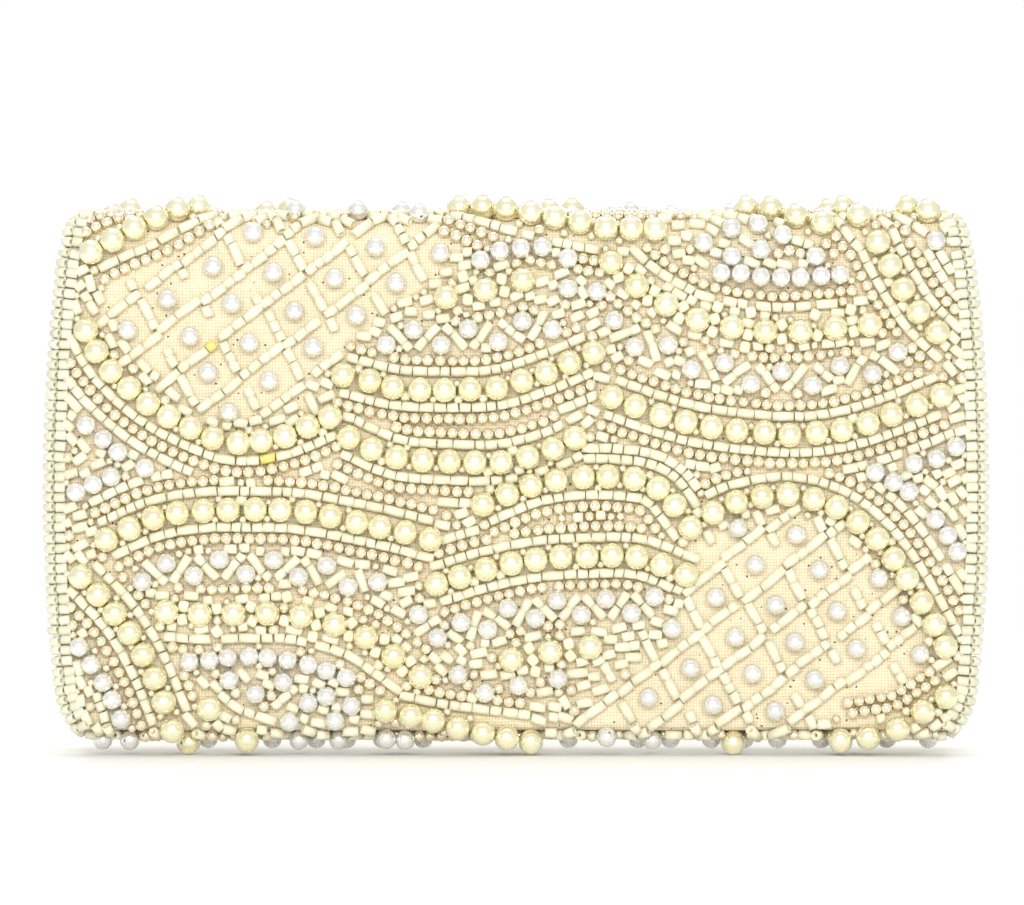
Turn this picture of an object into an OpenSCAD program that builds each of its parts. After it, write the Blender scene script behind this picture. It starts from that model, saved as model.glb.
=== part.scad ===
// Beaded evening bag: one long strip of bead-embroidered cloth is folded into the front's foot,
// the base, the back, the crown and a full-length flap. Boards stiffen it, satin lines it,
// folded gussets close its sides, and a magnetic snap holds the flap shut.
// X runs across the bag, +Y points to the flap side, Z is up, and the bag stands on Z = 0.

/* [Bag] */
// Width across the bound edges at the crown and the base
crown_w = 182; // [160:1:210]
// How far the sides of the back and the front swell past that width, on each side
body_swell = 3.5; // [0:0.5:5]
// Height of the shut bag with its beads
bag_h = 113; // [105:1:125]
// Depth of the shut bag with its beads
bag_d = 32; // [32:1:38]
// Radius over the beads where the strip folds over at the crown
fold_r = 10.5; // [10:0.5:12]

/* [Cloth and boards] */
// Thickness of the embroidered cloth
cloth_t = 0.6; // [0.4:0.1:0.8]
// Thickness of the stiffening boards
board_t = 1.2; // [1:0.1:1.4]
// Thickness of the satin lining
lining_t = 0.5; // [0.3:0.1:0.6]

/* [Beadwork] */
// Height that the largest beads stand above the cloth
bead_h = 5; // [4:0.1:5.2]
// Width of the bead binding along each edge
edge_w = 2.4; // [2:0.1:3]

/* [Flap] */
// Height of the flap's lower edge above the floor
flap_z = 14; // [13:1:24]
// How far the flap's sides swell past the crown's width, on each side
flap_swell = 5.5; // [0:0.5:7]
// Radius of the flap's lower corners
flap_corner = 7; // [5:1:12]

/* [Front panel] */
// Height of the front panel's top edge above the floor
front_h = 90; // [80:1:94]
// Room between the front panel and the flap, which the snap fills
snap_room = 4; // [4:0.1:4.4]

/* [Slip pocket] */
// Width of the pocket inside the back
pocket_w = 120; // [80:1:140]
// Height of the pocket's mouth above the floor
pocket_h = 72; // [50:1:80]

/* [Magnetic snap] */
// Diameter of the snap
snap_d = 14; // [12:1:18]
// Height of the snap's centre above the floor
snap_z = 34; // [32:1:45]
// Diameter of the stud's post
post_d = 5; // [4:0.5:5.5]

/* [Hidden] */
$fn = 48;

// Distance of each layer of the back and the flap from the bag's middle plane
bead_out = bag_d / 2;
cloth_out = bead_out - bead_h;
board_out = cloth_out - cloth_t;
lining_out = board_out - board_t;
lining_in = lining_out - lining_t;

// Axis of each fold, and the radii of its layers. The crown lies flat between the two folds.
fold_y = bead_out - fold_r;
fold_z = bag_h - fold_r;
bead_r = [fold_r - bead_h, fold_r];
cloth_r = [bead_r[0] - cloth_t, bead_r[0]];
felt_r = [cloth_r[0] - board_t, cloth_r[0]];
lining_r = [felt_r[0] - lining_t, felt_r[0]];
edge_r = [lining_r[0], bead_r[0] + 1.8];

// Layers of the front panel, which hangs under the flap
front_board_t = 1;
front_out = lining_in - snap_room;
front_board_out = front_out - cloth_t;
front_lining_out = front_board_out - front_board_t;
front_in = front_lining_out - lining_t;
front_z = bead_h + 1.3;
front_bead_out = front_out + bead_h;
front_bead_z = front_z + 0.6;
front_bead_top = flap_z - 1.5;

// Layers of the base, from the beads that it stands on up to the lining
base_cloth_top = bead_h + cloth_t;
base_board_top = base_cloth_top + board_t;
base_lining_top = base_board_top + lining_t;
base_end = front_in - 0.3;
foot_round = 3.4;

crown_half = crown_w / 2;
panel_half = crown_half - edge_w;
across = [-panel_half, panel_half];
edge_bead_out = cloth_out + 1.8;
edge_foot_z = 1;

gusset_t = 0.8;
gusset_depth = 7;
gusset_top = front_h - 4;
gusset_fold_y = (front_in - lining_in) / 2;

pocket_foot = 12;
pocket_t = 0.4;
pocket_seam = 2;
hem_h = 2;

snap_r = snap_d / 2;
plate_t = 0.4;
washer_t = 0.5;
leg_t = 0.5;
leg_w = 3;
leg_x = 3.5;
leg_reach = 2.6;
slot_room = 0.15;
post_clear = 0.7;
socket_h = 2.3;
stud_t = 1;
post_l = 2;
magnet_room = 0.1;
washer_hole_r = snap_r + 0.3;

ivory = "#efe9cf";
champagne = "#f1e9b6";
satin = "#e9dfc6";
card = "#b9ab8c";
felt = "#ddd6c4";
gilt = "#c9ab5e";
steel = "#8d8f93";
ferrite = "#3d3b3a";

// A block given by its low and high places on each axis
module slab(x, y, z) {
    translate([x[0], y[0], z[0]]) cube([x[1] - x[0], y[1] - y[0], z[1] - z[0]]);
}

// Stands a flat outline drawn in X and Z up between two depths
module upright(y) {
    translate([0, y[1], 0]) rotate([90, 0, 0]) linear_extrude(y[1] - y[0]) children();
}

// Half the width of a panel at a height. Its sides swell between its foot and the crown.
function half_width(z, foot, swell) =
    crown_half + swell * pow(max(0, sin(180 * (fold_z - z) / (fold_z - foot))), 0.7);

// The right side of a panel between two heights, drawn in by a distance
side_steps = 14;
function panel_side(z, foot, swell, inset) = [
    for (i = [0:side_steps])
        let (h = z[1] - i * (z[1] - z[0]) / side_steps) [half_width(h, foot, swell) - inset, h]
];
function backwards(list) = [for (i = [len(list) - 1:-1:0]) list[i]];
function mirrored(list) = [for (p = list) [-p[0], p[1]]];
function both_sides(side) = concat(side, backwards(mirrored(side)));

// A layer of the back or the front, and the bead binding along one of its sides
module body_panel(y, z, inset = edge_w) {
    upright(y) polygon(both_sides(panel_side(z, bead_h, body_swell, inset)));
}
module body_edge(side, y, z) {
    band = concat(panel_side(z, bead_h, body_swell, 0), backwards(panel_side(z, bead_h, body_swell, edge_w)));
    upright(y) polygon(side > 0 ? band : mirrored(band));
}

// A quarter-round layer over the rear (-1) or the front (1) fold, between two radii
module fold_layer(side, r, x = across) {
    translate([x[0], side * fold_y, fold_z]) rotate([0, 90, 0]) rotate([0, 0, side > 0 ? 90 : 180])
        rotate_extrude(angle = 90) translate([r[0], 0]) square([r[1] - r[0], x[1] - x[0]]);
}
module fold_edges(side) {
    fold_layer(side, edge_r, [-crown_half, -panel_half]);
    fold_layer(side, edge_r, [panel_half, crown_half]);
}

// A flat layer of the crown, at the same radii as the folds beside it
module crown_layer(r, x = across) slab(x, [-fold_y, fold_y], [fold_z + r[0], fold_z + r[1]]);

// Back panel
back_z = [bead_h, fold_z];
back_inner_z = [base_cloth_top, fold_z];
module back_beadwork() color(champagne) body_panel([-bead_out, -cloth_out], back_z);
module back_shell() color(ivory) body_panel([-cloth_out, -board_out], back_z);
module back_board() color(card) body_panel([-board_out, -lining_out], back_inner_z);
module back_lining() color(satin) body_panel([-lining_out, -lining_in], back_inner_z);
module back_edge_beads(side) color(ivory) body_edge(side, [-edge_bead_out, -lining_in], back_inner_z);

// Base, with its lower edges rounded where the beads turn under
module base_beadwork() {
    rear = -bead_out + foot_round;
    front = front_bead_out - foot_round;
    color(champagne) translate([-panel_half, 0, 0]) rotate([90, 0, 90]) linear_extrude(2 * panel_half)
        polygon(concat(
            [[front_bead_out, bead_h], [-bead_out, bead_h]],
            [for (a = [0:15:90]) [rear - foot_round * cos(a), foot_round - foot_round * sin(a)]],
            [for (a = [90:-15:0]) [front + foot_round * cos(a), foot_round - foot_round * sin(a)]]
        ));
}
module base_shell() color(ivory) slab(across, [-board_out, base_end], [bead_h, base_cloth_top]);
module base_board() color(card) slab(across, [-lining_in, base_end], [base_cloth_top, base_board_top]);
module base_lining() color(satin) slab(across, [-lining_in, base_end], [base_board_top, base_lining_top]);
module base_edge_beads(side) {
    edge = side > 0 ? [panel_half, crown_half] : [-crown_half, -panel_half];
    color(ivory) slab(edge, [-edge_bead_out, base_end], [edge_foot_z, base_cloth_top]);
}

// Slip pocket sewn to the back lining on three sides, with a hem along its mouth
module slip_pocket() {
    color(satin) difference() {
        slab([-pocket_w / 2, pocket_w / 2], [-lining_in, -lining_in + 2 * pocket_t], [pocket_foot, pocket_h]);
        slab([-pocket_w / 2 + pocket_seam, pocket_w / 2 - pocket_seam], [-lining_in - 1, -lining_in + pocket_t],
             [pocket_foot + pocket_seam, pocket_h + 1]);
    }
}
module pocket_hem() {
    color(satin) slab([-pocket_w / 2, pocket_w / 2], [-lining_in + pocket_t, -lining_in + 3 * pocket_t],
                      [pocket_h, pocket_h + hem_h]);
}

// Gusset: a side wall of satin that folds inwards between the back and the front
module gusset(side) {
    out = side * panel_half;
    tip = side * (panel_half - gusset_depth);
    thick = side * gusset_t;
    color(satin) translate([0, 0, base_lining_top]) linear_extrude(gusset_top - base_lining_top)
        polygon([[out, -lining_in], [tip, gusset_fold_y], [out, front_in],
                 [out - thick, front_in], [tip - thick, gusset_fold_y], [out - thick, -lining_in]]);
}

// The soft folds, where the strip turns over the crown's rear and front edges
module fold_beadwork(side) color(champagne) fold_layer(side, bead_r);
module fold_shell(side) color(ivory) fold_layer(side, cloth_r);
module fold_interlining(side) color(felt) fold_layer(side, felt_r);
module fold_lining(side) color(satin) fold_layer(side, lining_r);
module fold_edge_beads(side) color(ivory) fold_edges(side);

// Crown, the flat band between the folds
module crown_beadwork() color(champagne) crown_layer(bead_r);
module crown_shell() color(ivory) crown_layer(cloth_r);
module crown_interlining() color(felt) crown_layer(felt_r);
module crown_lining() color(satin) crown_layer(lining_r);
module crown_edge_beads() {
    color(ivory) {
        crown_layer(edge_r, [-crown_half, -panel_half]);
        crown_layer(edge_r, [panel_half, crown_half]);
    }
}

// The flap's right side from the front fold down and round its lower corner
corner_z = flap_z + flap_corner;
corner_x = half_width(corner_z, flap_z, flap_swell) - flap_corner;
function flap_side(inset) = concat(
    panel_side([corner_z, fold_z], flap_z, flap_swell, inset),
    [for (a = [-15:-15:-90])
        [corner_x + (flap_corner - inset) * cos(a), corner_z + (flap_corner - inset) * sin(a)]]
);

module flap_layer(y) upright(y) polygon(both_sides(flap_side(edge_w)));
module flap_beadwork() color(champagne) flap_layer([cloth_out, bead_out]);
module flap_shell() color(ivory) flap_layer([board_out, cloth_out]);
module flap_board() {
    color(card) difference() {
        flap_layer([lining_out, board_out]);
        snap_disc(washer_hole_r, [lining_out - 1, board_out + 1]);
    }
}
module flap_lining() {
    color(satin) difference() {
        flap_layer([lining_in, lining_out]);
        snap_slots([lining_in - 1, lining_out + 1]);
    }
}
module flap_edge_beads(side) {
    band = concat(flap_side(0), backwards(flap_side(edge_w)));
    color(ivory) upright([lining_in, edge_bead_out]) polygon(side > 0 ? band : mirrored(band));
}
module flap_edge_beads_bottom() {
    color(ivory) slab([-corner_x, corner_x], [lining_in, edge_bead_out], [flap_z, flap_z + edge_w]);
}

// Parts of the snap, all on one axis that runs front to back
module snap_disc(r, y) translate([0, y[1], snap_z]) rotate([90, 0, 0]) cylinder(r = r, h = y[1] - y[0]);
module snap_legs(y, room = 0) {
    for (side = [-1, 1])
        slab([side * leg_x - leg_t / 2 - room, side * leg_x + leg_t / 2 + room], y,
             [snap_z - leg_w / 2 - room, snap_z + leg_w / 2 + room]);
}
module snap_slots(y) snap_legs(y, slot_room);
module bent_legs(y) {
    height = [snap_z - leg_w / 2, snap_z + leg_w / 2];
    slab([leg_x - leg_t / 2, leg_x + leg_reach], y, height);
    slab([-leg_x - leg_reach, -leg_x + leg_t / 2], y, height);
}

module snap_stud() {
    color(gilt) union() {
        snap_disc(snap_r, [lining_in - stud_t, lining_in]);
        snap_disc(post_d / 2, [lining_in - stud_t - post_l, lining_in - stud_t]);
        snap_legs([lining_in, lining_out + washer_t + leg_t]);
        bent_legs([lining_out + washer_t, lining_out + washer_t + leg_t]);
    }
}
module snap_stud_washer() {
    color(steel) difference() {
        snap_disc(snap_r, [lining_out, lining_out + washer_t]);
        snap_slots([lining_out - 1, lining_out + washer_t + 1]);
    }
}
module snap_socket_base() {
    washer_in = front_board_out - washer_t;
    color(gilt) union() {
        difference() {
            snap_disc(snap_r, [front_out, front_out + plate_t]);
            snap_disc(post_d / 2 + post_clear, [front_out - 1, front_out + plate_t + 1]);
        }
        snap_legs([washer_in - leg_t, front_out]);
        bent_legs([washer_in - leg_t, washer_in]);
    }
}
module snap_socket_shell() {
    hub_r = post_d / 2 + post_clear;
    low = front_out + plate_t;
    high = low + socket_h;
    color(gilt) difference() {
        snap_disc(snap_r, [low, high]);
        snap_disc(hub_r, [low - 1, high + 1]);
        difference() {
            snap_disc(snap_r - plate_t, [low - 1, high - plate_t]);
            snap_disc(hub_r + plate_t, [low - 2, high]);
        }
    }
}
module snap_magnet() {
    hub_r = post_d / 2 + post_clear + plate_t + magnet_room;
    low = front_out + plate_t;
    color(ferrite) difference() {
        snap_disc(snap_r - plate_t - magnet_room, [low, low + socket_h - plate_t - magnet_room]);
        snap_disc(hub_r, [low - 1, low + socket_h]);
    }
}
module snap_socket_washer() {
    color(steel) difference() {
        snap_disc(snap_r, [front_board_out - washer_t, front_board_out]);
        snap_slots([front_board_out - washer_t - 1, front_board_out + 1]);
    }
}

// Front panel, which swings out at its foot to open the mouth
panel_z = [front_z, front_h];
module front_beadwork() {
    color(champagne) body_panel([front_out, front_bead_out], [front_bead_z, front_bead_top]);
}
module front_shell() {
    color(ivory) difference() {
        body_panel([front_board_out, front_out], panel_z);
        snap_slots([front_board_out - 1, front_out + 1]);
    }
}
module front_board() {
    color(card) difference() {
        body_panel([front_lining_out, front_board_out], panel_z);
        snap_disc(washer_hole_r, [front_lining_out - 1, front_board_out + 1]);
    }
}
module front_lining() color(satin) body_panel([front_in, front_lining_out], panel_z);
module mouth_hem() color(satin) slab(across, [front_in, front_out], [front_h, front_h + hem_h]);
module front_edge_beads(side) color(ivory) body_edge(side, [front_in, front_out + 1.2], panel_z);

back_beadwork();
back_shell();
back_board();
back_lining();
back_edge_beads(-1);  // back_edge_beads_left
back_edge_beads(1);  // back_edge_beads_right
base_beadwork();
base_shell();
base_board();
base_lining();
base_edge_beads(-1);  // base_edge_beads_left
base_edge_beads(1);  // base_edge_beads_right
slip_pocket();
pocket_hem();
gusset(-1);  // gusset_left
gusset(1);  // gusset_right
fold_beadwork(-1);  // rear_fold_beadwork
fold_shell(-1);  // rear_fold_shell
fold_interlining(-1);  // rear_fold_interlining
fold_lining(-1);  // rear_fold_lining
fold_edge_beads(-1);  // rear_fold_edge_beads
crown_beadwork();
crown_shell();
crown_interlining();
crown_lining();
crown_edge_beads();
fold_beadwork(1);  // front_fold_beadwork
fold_shell(1);  // front_fold_shell
fold_interlining(1);  // front_fold_interlining
fold_lining(1);  // front_fold_lining
fold_edge_beads(1);  // front_fold_edge_beads
flap_beadwork();
flap_shell();
flap_board();
flap_lining();
flap_edge_beads(-1);  // flap_edge_beads_left
flap_edge_beads(1);  // flap_edge_beads_right
flap_edge_beads_bottom();
snap_stud();
snap_stud_washer();
front_beadwork();
front_shell();
front_board();
front_lining();
mouth_hem();
front_edge_beads(-1);  // front_edge_beads_left
front_edge_beads(1);  // front_edge_beads_right
snap_socket_shell();
snap_socket_base();
snap_magnet();
snap_socket_washer();
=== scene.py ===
import math
import random

import bpy
import numpy as np
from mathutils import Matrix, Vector


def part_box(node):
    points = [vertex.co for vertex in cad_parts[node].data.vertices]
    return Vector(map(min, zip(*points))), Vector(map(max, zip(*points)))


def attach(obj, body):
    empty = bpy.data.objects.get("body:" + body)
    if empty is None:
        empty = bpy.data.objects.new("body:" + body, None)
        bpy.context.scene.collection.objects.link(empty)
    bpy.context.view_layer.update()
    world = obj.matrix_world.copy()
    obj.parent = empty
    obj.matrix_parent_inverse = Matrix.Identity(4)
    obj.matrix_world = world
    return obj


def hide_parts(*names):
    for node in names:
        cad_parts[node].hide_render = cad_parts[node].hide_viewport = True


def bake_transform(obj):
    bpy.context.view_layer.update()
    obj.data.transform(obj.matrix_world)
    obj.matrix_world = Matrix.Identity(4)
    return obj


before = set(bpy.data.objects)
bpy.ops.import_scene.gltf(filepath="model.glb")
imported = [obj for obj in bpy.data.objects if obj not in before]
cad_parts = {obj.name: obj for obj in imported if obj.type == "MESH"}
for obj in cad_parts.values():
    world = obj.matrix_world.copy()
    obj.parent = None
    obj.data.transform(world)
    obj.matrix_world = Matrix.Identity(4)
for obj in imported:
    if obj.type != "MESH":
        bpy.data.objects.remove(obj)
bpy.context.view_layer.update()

# ---- Embroidered cloth ----------------------------------------------------------------------
# One long strip of ivory plain-weave linen makes the base, the back, the top and the flap. It is
# beaded flat in an embroidery frame, then stretched over boards and folded. All places on it are
# given by u, across the bag, and s, the way along the strip, in millimetres.
MM = 0.001


def node_mm(node):
    low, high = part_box(node)
    return np.array(low) / MM, np.array(high) / MM


back_low, back_high = node_mm("back_shell")
crown_low, crown_high = node_mm("crown_shell")
flap_low, flap_high = node_mm("flap_edge_beads_bottom")
FACE_Y = -back_low[1]
FOLD_Z = back_high[2]
FOLD_Y = crown_high[1]
FOLD_R = crown_high[2] - FOLD_Z
BASE_Z = back_low[2]
FLAP_FOOT_Z = flap_low[2]
CROWN_HALF = node_mm("crown_edge_beads")[1][0]
FOLD_LENGTH = FOLD_R * math.pi / 2
FOOT_R = 2.0
FOOT_TOP = BASE_Z + FOOT_R
FOOT_END = FOOT_TOP - FOOT_R * math.pi / 2
BASE_FRONT_Y = node_mm("base_shell")[1][1]
BASE_END = FOOT_END - (BASE_FRONT_Y + FACE_Y - FOOT_R)
CROWN_START = FOLD_Z + FOLD_LENGTH
CROWN_END = CROWN_START + 2 * FOLD_Y
CROWN_MIDDLE = (CROWN_START + CROWN_END) / 2
FLAP_START = CROWN_END + FOLD_LENGTH
FLAP_END = FLAP_START + FOLD_Z - FLAP_FOOT_Z


def strip_frame(s):
    """Places on the strip's outer face, as y and z, and the way out of it there."""
    s = np.asarray(s, float)
    foot = np.clip((FOOT_TOP - s) / FOOT_R, 0, math.pi / 2)
    rear = np.clip((s - FOLD_Z) / FOLD_R, 0, math.pi / 2)
    front = np.clip((s - CROWN_END) / FOLD_R, 0, math.pi / 2)
    turn = rear + front - foot
    out_y, out_z = -np.cos(turn), np.sin(turn)
    y = np.full(s.shape, -FACE_Y)
    z = s.copy()
    on_foot = (s < FOOT_TOP) & (s >= FOOT_END)
    y = np.where(on_foot, -FACE_Y + FOOT_R - FOOT_R * np.cos(foot), y)
    z = np.where(on_foot, FOOT_TOP - FOOT_R * np.sin(foot), z)
    on_base = s < FOOT_END
    y = np.where(on_base, -FACE_Y + FOOT_R + (FOOT_END - s), y)
    z = np.where(on_base, BASE_Z, z)
    on_rear = (s >= FOLD_Z) & (s < CROWN_START)
    y = np.where(on_rear, -FOLD_Y - FOLD_R * np.cos(rear), y)
    z = np.where(on_rear, FOLD_Z + FOLD_R * np.sin(rear), z)
    on_crown = (s >= CROWN_START) & (s < CROWN_END)
    y = np.where(on_crown, -FOLD_Y + s - CROWN_START, y)
    z = np.where(on_crown, FOLD_Z + FOLD_R, z)
    on_front = (s >= CROWN_END) & (s < FLAP_START)
    y = np.where(on_front, FOLD_Y + FOLD_R * np.sin(front), y)
    z = np.where(on_front, FOLD_Z + FOLD_R * np.cos(front), z)
    on_flap = s >= FLAP_START
    y = np.where(on_flap, FACE_Y, y)
    z = np.where(on_flap, FOLD_Z - (s - FLAP_START), z)
    return y, z, out_y, out_z


# How far the sides swell or are drawn in, on each side
BACK_SWELL, FLAP_SWELL, CROWN_DRAW, FOOT_DRAW, FLAP_CORNER = 3.5, 4.6, 3.2, 2.2, 6.0


def swell(share):
    return np.maximum(0, np.sin(math.pi * np.clip(share, 0, 1))) ** 0.7


def half_width(s):
    """Half the strip's width over its bound edges, with its swell and where it is drawn in."""
    s = np.asarray(s, float)
    back = BACK_SWELL * swell((s - BASE_Z) / (FOLD_Z - BASE_Z))
    flap = FLAP_SWELL * swell((s - FLAP_START) / (FLAP_END - FLAP_START))
    over = np.clip((s - FOLD_Z) / (FLAP_START - FOLD_Z), 0, 1)
    crown = CROWN_DRAW * np.sin(math.pi * over) ** 2
    foot = FOOT_DRAW * np.clip((14 - s) / 9, 0, 1) ** 2
    turned = np.clip(s - FLAP_END + FLAP_CORNER, 0, FLAP_CORNER)
    corner = FLAP_CORNER - np.sqrt(np.maximum(0, FLAP_CORNER ** 2 - turned ** 2))
    return CROWN_HALF + back + flap - crown - foot - corner


def new_mesh(name, verts, faces, smooth=True):
    mesh = bpy.data.meshes.new(name)
    mesh.from_pydata([tuple(v) for v in np.asarray(verts) * MM], [], faces)
    mesh.polygons.foreach_set("use_smooth", [smooth] * len(mesh.polygons))
    mesh.update()
    piece = bpy.data.objects.new(name, mesh)
    bpy.context.scene.collection.objects.link(piece)
    return piece


def write_values(piece, name, kind, values):
    attribute = piece.data.attributes.new(name, kind, "POINT")
    key = "value" if kind == "FLOAT" else "vector"
    attribute.data.foreach_set(key, np.asarray(values, np.float32).ravel())


def grid_faces(rows, columns):
    return [(r * columns + c, r * columns + c + 1, (r + 1) * columns + c + 1, (r + 1) * columns + c)
            for r in range(rows - 1) for c in range(columns - 1)]


def ripple(u, s, seed, size):
    """A slow uneven height, as cloth has where stitches draw it in."""
    a, b, c = seed * 1.7, seed * 2.3 + 1, seed * 0.9 + 2
    wave = np.sin(u / 7.3 + a + 1.3 * np.sin(s / 9.1 + b)) * np.sin(s / 6.1 + c + 1.1 * np.sin(u / 11.7 + a))
    return size * (wave + 0.5 * np.sin(u / 3.1 + b) * np.sin(s / 2.7 + a))


def thicken(piece, thickness, offset=-1):
    solid = piece.modifiers.new("thickness", "SOLIDIFY")
    solid.thickness = thickness * MM
    solid.offset = offset
    solid.use_rim = True


def strip_sheet(name, start, end, inset, height, thickness, seed, rough=0.12, step=1.0):
    """A layer of the strip between two places along it, at a height above its outer face."""
    along = np.linspace(start, end, int(round((end - start) / step)) + 1)
    across = np.linspace(-1, 1, 121)
    s = np.repeat(along, len(across))
    u = np.tile(across, len(along)) * (half_width(s) - inset)
    y, z, out_y, out_z = strip_frame(s)
    h = height + ripple(u, s, seed, rough)
    verts = np.stack([u, y + out_y * h, z + out_z * h], 1)
    piece = new_mesh(name, verts, grid_faces(len(along), len(across)))
    write_values(piece, "cut", "FLOAT_VECTOR", np.stack([u, s, np.zeros_like(s)], 1))
    thicken(piece, thickness)
    return piece, s


def new_material(name):
    material = bpy.data.materials.new(name)
    material.use_nodes = True
    nodes, links = material.node_tree.nodes, material.node_tree.links
    return material, nodes, links, nodes["Principled BSDF"]


def math_node(nodes, links, operation, *inputs):
    node = nodes.new("ShaderNodeMath")
    node.operation = operation
    for place, value in enumerate(inputs):
        if isinstance(value, (int, float)):
            node.inputs[place].default_value = value
        else:
            links.new(value, node.inputs[place])
    return node.outputs[0]


def mix_colours(nodes, links, factor, first, second, blend="MIX"):
    node = nodes.new("ShaderNodeMix")
    node.data_type = "RGBA"
    node.blend_type = blend
    if isinstance(factor, (int, float)):
        node.inputs[0].default_value = factor
    else:
        links.new(factor, node.inputs[0])
    for place, value in ((6, first), (7, second)):
        if isinstance(value, tuple):
            node.inputs[place].default_value = (*value, 1)
        else:
            links.new(value, node.inputs[place])
    return node.outputs[2]


def cloth_material(name, light, weave_shade_colour, pitch, roughness, sheen, bump, holes=0.0, warp=0.5):
    """A plain weave whose threads cross at the pitch, with slubs, soft stains and needle holes. Its colour
    darkens where the weave dips, painted shade between the threads, and its needle holes are painted near
    black, painted shade inside them.
    """
    material, nodes, links, shader = new_material(name)
    place = nodes.new("ShaderNodeAttribute")
    place.attribute_name = "cut"
    wobble = nodes.new("ShaderNodeTexNoise")
    wobble.inputs["Scale"].default_value = 0.35
    wobble.inputs["Detail"].default_value = 2
    links.new(place.outputs["Vector"], wobble.inputs["Vector"])
    shift = nodes.new("ShaderNodeVectorMath")
    shift.operation = "SCALE"
    shift.inputs["Scale"].default_value = warp
    links.new(wobble.outputs["Color"], shift.inputs[0])
    moved = nodes.new("ShaderNodeVectorMath")
    moved.operation = "ADD"
    links.new(place.outputs["Vector"], moved.inputs[0])
    links.new(shift.outputs[0], moved.inputs[1])
    split = nodes.new("ShaderNodeSeparateXYZ")
    links.new(moved.outputs[0], split.inputs[0])
    turns = math.pi / pitch
    wave_u = math_node(nodes, links, "SINE", math_node(nodes, links, "MULTIPLY", split.outputs[0], turns))
    wave_s = math_node(nodes, links, "SINE", math_node(nodes, links, "MULTIPLY", split.outputs[1], turns))
    # Where the two waves have the same sign the warp thread is on top, and elsewhere the weft
    over = math_node(nodes, links, "MULTIPLY", wave_u, wave_s)
    rise_u = math_node(nodes, links, "ABSOLUTE", wave_u)
    rise_s = math_node(nodes, links, "ABSOLUTE", wave_s)
    gap = math_node(nodes, links, "MULTIPLY", rise_u, rise_s)
    height = math_node(nodes, links, "POWER", gap, 0.45)
    tilt = math_node(nodes, links, "MULTIPLY_ADD", over, 0.18, 0.0)
    height = math_node(nodes, links, "ADD", height, tilt)
    slub = nodes.new("ShaderNodeTexNoise")
    slub.inputs["Scale"].default_value = 0.9
    slub.inputs["Detail"].default_value = 4
    links.new(place.outputs["Vector"], slub.inputs["Vector"])
    # The colour follows the weave's height, so the dips between the threads are darker: painted shade.
    colour = mix_colours(nodes, links, height, weave_shade_colour, light)
    uneven = nodes.new("ShaderNodeMapRange")
    uneven.inputs["From Min"].default_value = 0.3
    uneven.inputs["From Max"].default_value = 0.7
    uneven.inputs["To Min"].default_value = 0.90
    uneven.inputs["To Max"].default_value = 1.04
    links.new(slub.outputs["Fac"], uneven.inputs["Value"])
    colour = mix_colours(nodes, links, 1.0, colour, uneven.outputs[0], "MULTIPLY")
    if holes:
        cells = nodes.new("ShaderNodeTexVoronoi")
        cells.inputs["Scale"].default_value = 0.5
        cells.inputs["Randomness"].default_value = 1.0
        links.new(place.outputs["Vector"], cells.inputs["Vector"])
        hole_shade_mask = math_node(nodes, links, "LESS_THAN", cells.outputs["Distance"], holes)
        # Each needle hole is painted near black: painted shade inside the hole.
        colour = mix_colours(nodes, links, hole_shade_mask, colour, (0.13, 0.10, 0.07))
        height = math_node(nodes, links, "SUBTRACT", height, math_node(nodes, links, "MULTIPLY", hole_shade_mask, 2.0))
    links.new(colour, shader.inputs["Base Color"])
    shader.inputs["Roughness"].default_value = roughness
    shader.inputs["Sheen Weight"].default_value = sheen
    shader.inputs["Sheen Roughness"].default_value = 0.4
    relief = nodes.new("ShaderNodeBump")
    relief.inputs["Strength"].default_value = bump
    relief.inputs["Distance"].default_value = 0.12 * MM
    links.new(height, relief.inputs["Height"])
    links.new(relief.outputs[0], shader.inputs["Normal"])
    return material


LINEN = ((0.98, 0.89, 0.665), (0.78, 0.645, 0.42), 0.64, 0.85, 0.15, 1.0)
linen = cloth_material("linen", *LINEN, holes=0.11)

SIDE_BODIES = {"back": ("body", "crown", FOLD_Z), "flap": ("crown", "flap", CROWN_END)}


def follow_fold(piece, side):
    """Bakes the piece's place into its mesh. It looks up the two bodies of its fold and where the fold
    starts, but joins the piece to neither and gives it no weights.
    """
    first, second, start = SIDE_BODIES[side]
    y, z, _, _ = strip_frame(np.array([start, start + FOLD_LENGTH]))
    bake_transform(piece)


for side, start, end, nodes_replaced in (
        ("back", BASE_END, CROWN_MIDDLE, ("back_shell", "base_shell", "rear_fold_shell", "crown_shell")),
        ("flap", CROWN_MIDDLE, FLAP_END - 1.2, ("flap_shell", "front_fold_shell"))):
    cloth, s = strip_sheet("cloth_" + side, start, end, 1.8, 0.0, 0.5, seed=3)
    cloth.data.materials.append(linen)
    follow_fold(cloth, side)
    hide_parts(*nodes_replaced)

# ---- Beadwork ------------------------------------------------------------------------------
# Imitation pearls, seed pearls, cut glass tubes and opaque rocailles, each sewn on by its own
# hole. Rows of large champagne pearls swing across the bag in arcs, seed pearls and tubes run
# beside them, white pearls sit in zigzags, and two fields are left open under a lattice of tubes.
LARGE_R, WHITE_R, SEED_R, TUBE_R, ROCAILLE_R = 2.5, 2.0, 1.2, 1.02, 1.25
RADIUS = {"large": LARGE_R, "white": WHITE_R, "seed": SEED_R, "tube": TUBE_R, "rocaille": ROCAILLE_R,
          "stained": TUBE_R}
beads = []
taken = {}
CELL = 3.0
# Cloth left clear of beads inside the bound edge
BORDER = 4.3
chance = random.Random(11)
# Spacing of the points that a row of beads is laid along
STEP = 0.25


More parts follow.
